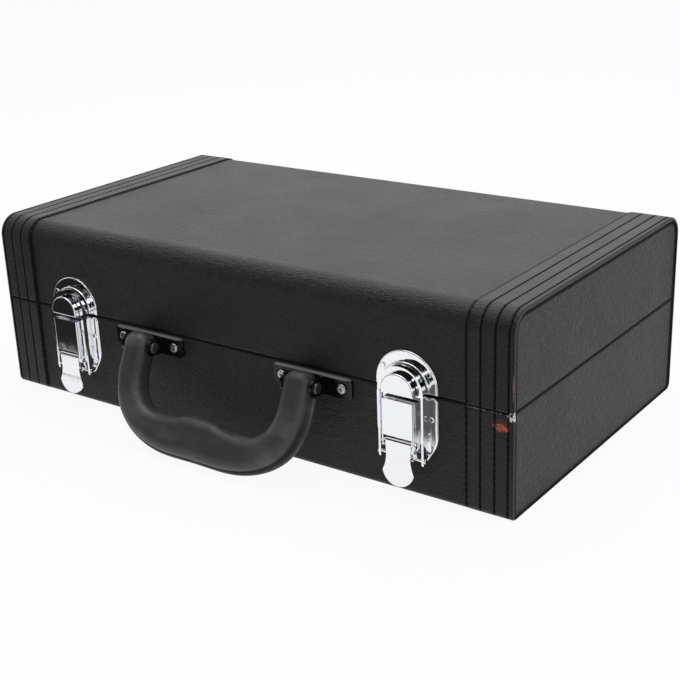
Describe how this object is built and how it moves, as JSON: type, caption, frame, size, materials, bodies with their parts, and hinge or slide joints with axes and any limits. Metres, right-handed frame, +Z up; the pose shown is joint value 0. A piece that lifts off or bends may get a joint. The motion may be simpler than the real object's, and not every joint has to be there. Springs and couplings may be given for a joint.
{
  "type": "clarinet case",
  "caption": "Small black hard case for a clarinet, with a drop handle, draw latches, a stop-hinged lid and a pocketed plush insert.",
  "frame": {"origin": "the middle of the case's underside, on the surface the case stands on", "axes": "+X to the right along the case as seen from its handle and latches, +Y to the hinged back, +Z up"},
  "size_m": [0.35, 0.2435, 0.1074],
  "materials": {
    "leatherette": "black grained coated cloth, satin",
    "band_leatherette": "black grained coated cloth, stitched, satin",
    "plywood": "birch plywood, bare",
    "plush": "black plush",
    "handle_plastic": "moulded soft black plastic, matt",
    "black_enamel": "black enamelled steel sheet, glossy",
    "blackened_steel": "blackened steel",
    "screw_steel": "plated steel",
    "nickel_plate": "nickel-plated steel",
    "latch_chrome": "bright chrome-plated pressed steel"
  },
  "bodies": {
    "base": {"base_shell": "plywood", "base_cover": "leatherette", "rim_strip": "plywood", "base_insert": "plush", "hinge_base_rivets": "nickel_plate", "latch_base_rivets": "latch_chrome", "handle_washers": "blackened_steel", "bracket_screws": "screw_steel", "base_band_left": "band_leatherette", "base_end_left": "leatherette", "hinge_base_leaf_left": "nickel_plate", "hinge_pin_left": "nickel_plate", "latch_plate_left": "latch_chrome", "latch_housing_left": "latch_chrome", "lever_pin_left": "latch_chrome", "handle_bracket_left": "black_enamel", "handle_pin_left": "blackened_steel", "base_band_right": "band_leatherette", "base_end_right": "leatherette", "hinge_base_leaf_right": "nickel_plate", "hinge_pin_right": "nickel_plate", "latch_plate_right": "latch_chrome", "latch_housing_right": "latch_chrome", "lever_pin_right": "latch_chrome", "handle_bracket_right": "black_enamel", "handle_pin_right": "blackened_steel"},
    "lid": {"lid_shell": "plywood", "lid_cover": "leatherette", "lid_lining": "plush", "lid_pad": "plush", "hinge_lid_rivets": "nickel_plate", "latch_lid_rivets": "latch_chrome", "lid_band_left": "band_leatherette", "lid_end_left": "leatherette", "hinge_lid_leaf_left": "nickel_plate", "latch_strike_left": "latch_chrome", "lid_band_right": "band_leatherette", "lid_end_right": "leatherette", "hinge_lid_leaf_right": "nickel_plate", "latch_strike_right": "latch_chrome"},
    "handle": {"handle": "handle_plastic"},
    "lever_left": {"latch_lever_left": "latch_chrome", "bail_pin_left": "latch_chrome"},
    "bail_left": {"latch_bail_left": "latch_chrome", "latch_nose_left": "latch_chrome"},
    "lever_right": {"latch_lever_right": "latch_chrome", "bail_pin_right": "latch_chrome"},
    "bail_right": {"latch_bail_right": "latch_chrome", "latch_nose_right": "latch_chrome"}
  },
  "joints": [
    {"name": "lid_hinge", "type": "hinge", "parent": "base", "child": "lid", "pos_m": [0, 0.0996, 0.0571], "axis": [-1, 0, 0], "range_deg": [0, 105]},
    {"name": "handle_swing", "type": "hinge", "parent": "base", "child": "handle", "pos_m": [0, -0.1063, 0.0509], "axis": [-1, 0, 0], "range_deg": [-25.5, 142]},
    {"name": "latch_lever_left", "type": "hinge", "parent": "base", "child": "lever_left", "pos_m": [-0.1159, -0.1049, 0.0321], "axis": [-1, 0, 0], "range_deg": [0, 92]},
    {"name": "latch_bail_left", "type": "hinge", "parent": "lever_left", "child": "bail_left", "pos_m": [-0.1159, -0.1028, 0.024], "axis": [1, 0, 0], "range_deg": [0, 78.2]},
    {"name": "latch_lever_right", "type": "hinge", "parent": "base", "child": "lever_right", "pos_m": [0.1159, -0.1049, 0.0321], "axis": [-1, 0, 0], "range_deg": [0, 92]},
    {"name": "latch_bail_right", "type": "hinge", "parent": "lever_right", "child": "bail_right", "pos_m": [0.1159, -0.1028, 0.024], "axis": [1, 0, 0], "range_deg": [0, 78.2]}
  ],
  "couplings": [
    {"joint": "latch_bail_left", "follows": "latch_lever_left", "ratio": 0.85},
    {"joint": "latch_bail_right", "follows": "latch_lever_right", "ratio": 0.85}
  ]
}
